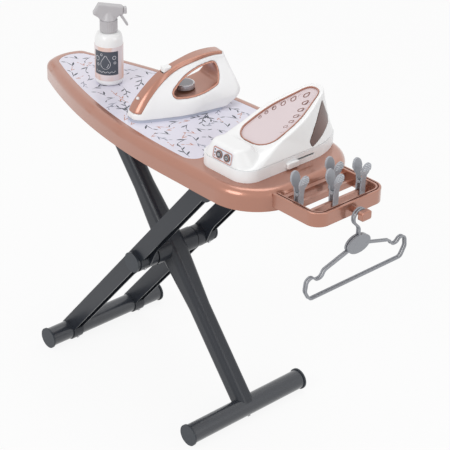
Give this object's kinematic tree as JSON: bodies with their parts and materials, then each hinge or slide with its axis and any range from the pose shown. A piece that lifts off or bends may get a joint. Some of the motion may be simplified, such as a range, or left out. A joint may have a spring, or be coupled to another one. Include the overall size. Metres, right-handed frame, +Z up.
{
  "type": "toy ironing board set",
  "caption": "Toy ironing board on folding crossed legs, with a steam station, iron, spray bottle, pegs on a rack and clothes hangers.",
  "frame": {"origin": "on the floor under the legs' cross pivot, midway between the two foot bars", "axes": "+X along the board towards the peg rack, nose to -X; +Y across the board to its far side; +Z up"},
  "size_m": [0.7184, 0.25, 0.6311],
  "materials": {
    "rose_gold": "satin",
    "print": "gloss",
    "slate_plastic": "satin",
    "slate_tube": "satin",
    "dark_cap": "satin",
    "steel": "brushed",
    "white_gloss": "gloss",
    "lilac": "satin",
    "mid_grey": "satin",
    "window": "gloss",
    "dark_button": "gloss",
    "sole_grey": "satin",
    "dial_grey": "satin",
    "silver_grey": "satin",
    "label": "gloss"
  },
  "bodies": {
    "board": {"board_shell": "rose_gold", "print_panel": "print", "bracket_screws": "steel", "rack_screws": "steel", "station_screws": "steel", "hinge_bracket": "slate_plastic", "hinge_bar": "slate_tube", "latch_bracket": "slate_plastic", "peg_rack": "rose_gold", "station_shell": "white_gloss", "station_base": "white_gloss", "tank_windows": "window", "rest_plate": "lilac", "rest_trim": "rose_gold", "control_panel": "white_gloss"},
    "inner_leg": {"inner_leg_post": "slate_plastic", "inner_foot_tube": "slate_tube", "inner_foot_caps": "dark_cap", "foot_screw": "steel"},
    "outer_leg": {"outer_leg_front": "slate_plastic", "outer_leg_back": "slate_plastic", "outer_foot_tube": "slate_tube", "outer_foot_caps": "dark_cap", "pivot_tube": "slate_tube", "pivot_caps": "dark_cap", "top_bar": "slate_tube", "beam_screws": "steel"},
    "steam_button": {"steam_button": "dark_button"},
    "power_button": {"power_button": "dark_button"},
    "lock": {"lock_slider": "white_gloss"},
    "hanger_1": {"hanger_1": "mid_grey"},
    "hanger_2": {"hanger_2": "mid_grey"},
    "iron": {"iron_shell": "white_gloss", "grip_strip": "rose_gold", "handle_lining": "rose_gold", "soleplate": "sole_grey", "spray_nozzle": "white_gloss"},
    "iron_dial": {"dial": "dial_grey"},
    "iron_button": {"iron_button": "white_gloss"},
    "bottle": {"bottle_body": "white_gloss", "bottle_label": "label", "bottle_collar": "silver_grey", "sprayer_head": "silver_grey", "dip_tube": "silver_grey"},
    "trigger": {"trigger": "silver_grey"},
    "nozzle_cap": {"nozzle_cap": "silver_grey"},
    "peg_1": {"peg_1_back_jaw": "mid_grey", "peg_1_spring": "steel"},
    "peg_1_front": {"peg_1_front_jaw": "mid_grey"},
    "peg_2": {"peg_2_back_jaw": "mid_grey", "peg_2_spring": "steel"},
    "peg_2_front": {"peg_2_front_jaw": "mid_grey"},
    "peg_3": {"peg_3_back_jaw": "mid_grey", "peg_3_spring": "steel"},
    "peg_3_front": {"peg_3_front_jaw": "mid_grey"},
    "peg_4": {"peg_4_back_jaw": "mid_grey", "peg_4_spring": "steel"},
    "peg_4_front": {"peg_4_front_jaw": "mid_grey"}
  },
  "joints": [
    {"name": "leg_fold", "type": "hinge", "parent": "board", "child": "inner_leg", "pos_m": [-0.16453, 0, 0.44], "axis": [0, -1, 0], "range_deg": [0, 47]},
    {"name": "outer_leg_fold", "type": "hinge", "parent": "inner_leg", "child": "outer_leg", "pos_m": [0, 0, 0.243], "axis": [0, 1, 0], "range_deg": [0, 94]},
    {"name": "steam_button_press", "type": "slide", "parent": "board", "child": "steam_button", "axis": [0, 0.9841, -0.1779], "range_m": [0, 0.0015], "stiffness_N_per_m": 600},
    {"name": "power_button_press", "type": "slide", "parent": "board", "child": "power_button", "axis": [0, 0.9841, -0.1779], "range_m": [0, 0.0015], "stiffness_N_per_m": 600},
    {"name": "lock_slide", "type": "slide", "parent": "board", "child": "lock", "axis": [0, 1, 0], "range_m": [0, 0.0378]},
    {"name": "hanger_1_swing", "type": "hinge", "parent": "board", "child": "hanger_1", "pos_m": [0.4062, 0.003, 0.4761], "axis": [1, 0, 0], "range_deg": [-20, 20]},
    {"name": "hanger_2_swing", "type": "hinge", "parent": "board", "child": "hanger_2", "pos_m": [0.4109, 0.003, 0.4761], "axis": [1, 0, 0], "range_deg": [-20, 20]},
    {"name": "iron_lift", "type": "slide", "parent": "board", "child": "iron", "axis": [0, 0, 1], "range_m": [0, 0.15]},
    {"name": "dial_turn", "type": "hinge", "parent": "iron", "child": "iron_dial", "pos_m": [0.00837, 0.01653, 0.532], "axis": [0, 0, 1], "range_deg": [-135, 135]},
    {"name": "iron_button_press", "type": "slide", "parent": "iron", "child": "iron_button", "axis": [0, 0, -1], "range_m": [0, 0.0025], "stiffness_N_per_m": 400},
    {"name": "bottle_lift", "type": "slide", "parent": "board", "child": "bottle", "axis": [0, 0, 1], "range_m": [0, 0.15]},
    {"name": "trigger_squeeze", "type": "hinge", "parent": "bottle", "child": "trigger", "pos_m": [-0.13626, 0.00244, 0.6138], "axis": [-0.829, 0.5592, 0], "range_deg": [0, 18], "stiffness_Nm_per_rad": 0.1},
    {"name": "nozzle_twist", "type": "hinge", "parent": "bottle", "child": "nozzle_cap", "pos_m": [-0.13262, 0.00783, 0.61842], "axis": [0.5592, 0.829, 0], "range_deg": [-90, 90]},
    {"name": "peg_1_lift", "type": "slide", "parent": "board", "child": "peg_1", "axis": [0, 0, 1], "range_m": [0, 0.08]},
    {"name": "peg_1_squeeze", "type": "hinge", "parent": "peg_1", "child": "peg_1_front", "pos_m": [0.336, -0.04896, 0.494], "axis": [0, -1, 0], "range_deg": [0, 14], "stiffness_Nm_per_rad": 0.15},
    {"name": "peg_2_lift", "type": "slide", "parent": "board", "child": "peg_2", "axis": [0, 0, 1], "range_m": [0, 0.08]},
    {"name": "peg_2_squeeze", "type": "hinge", "parent": "peg_2", "child": "peg_2_front", "pos_m": [0.336, 0.0216, 0.494], "axis": [0, -1, 0], "range_deg": [0, 14], "stiffness_Nm_per_rad": 0.15},
    {"name": "peg_3_lift", "type": "slide", "parent": "board", "child": "peg_3", "axis": [0, 0, 1], "range_m": [0, 0.08]},
    {"name": "peg_3_squeeze", "type": "hinge", "parent": "peg_3", "child": "peg_3_front", "pos_m": [0.364, -0.00576, 0.494], "axis": [0, -1, 0], "range_deg": [0, 14], "stiffness_Nm_per_rad": 0.15},
    {"name": "peg_4_lift", "type": "slide", "parent": "board", "child": "peg_4", "axis": [0, 0, 1], "range_m": [0, 0.08]},
    {"name": "peg_4_squeeze", "type": "hinge", "parent": "peg_4", "child": "peg_4_front", "pos_m": [0.364, 0.0504, 0.494], "axis": [0, -1, 0], "range_deg": [0, 14], "stiffness_Nm_per_rad": 0.15}
  ],
  "couplings": [
    {"joint": "outer_leg_fold", "follows": "leg_fold", "ratio": 2}
  ]
}
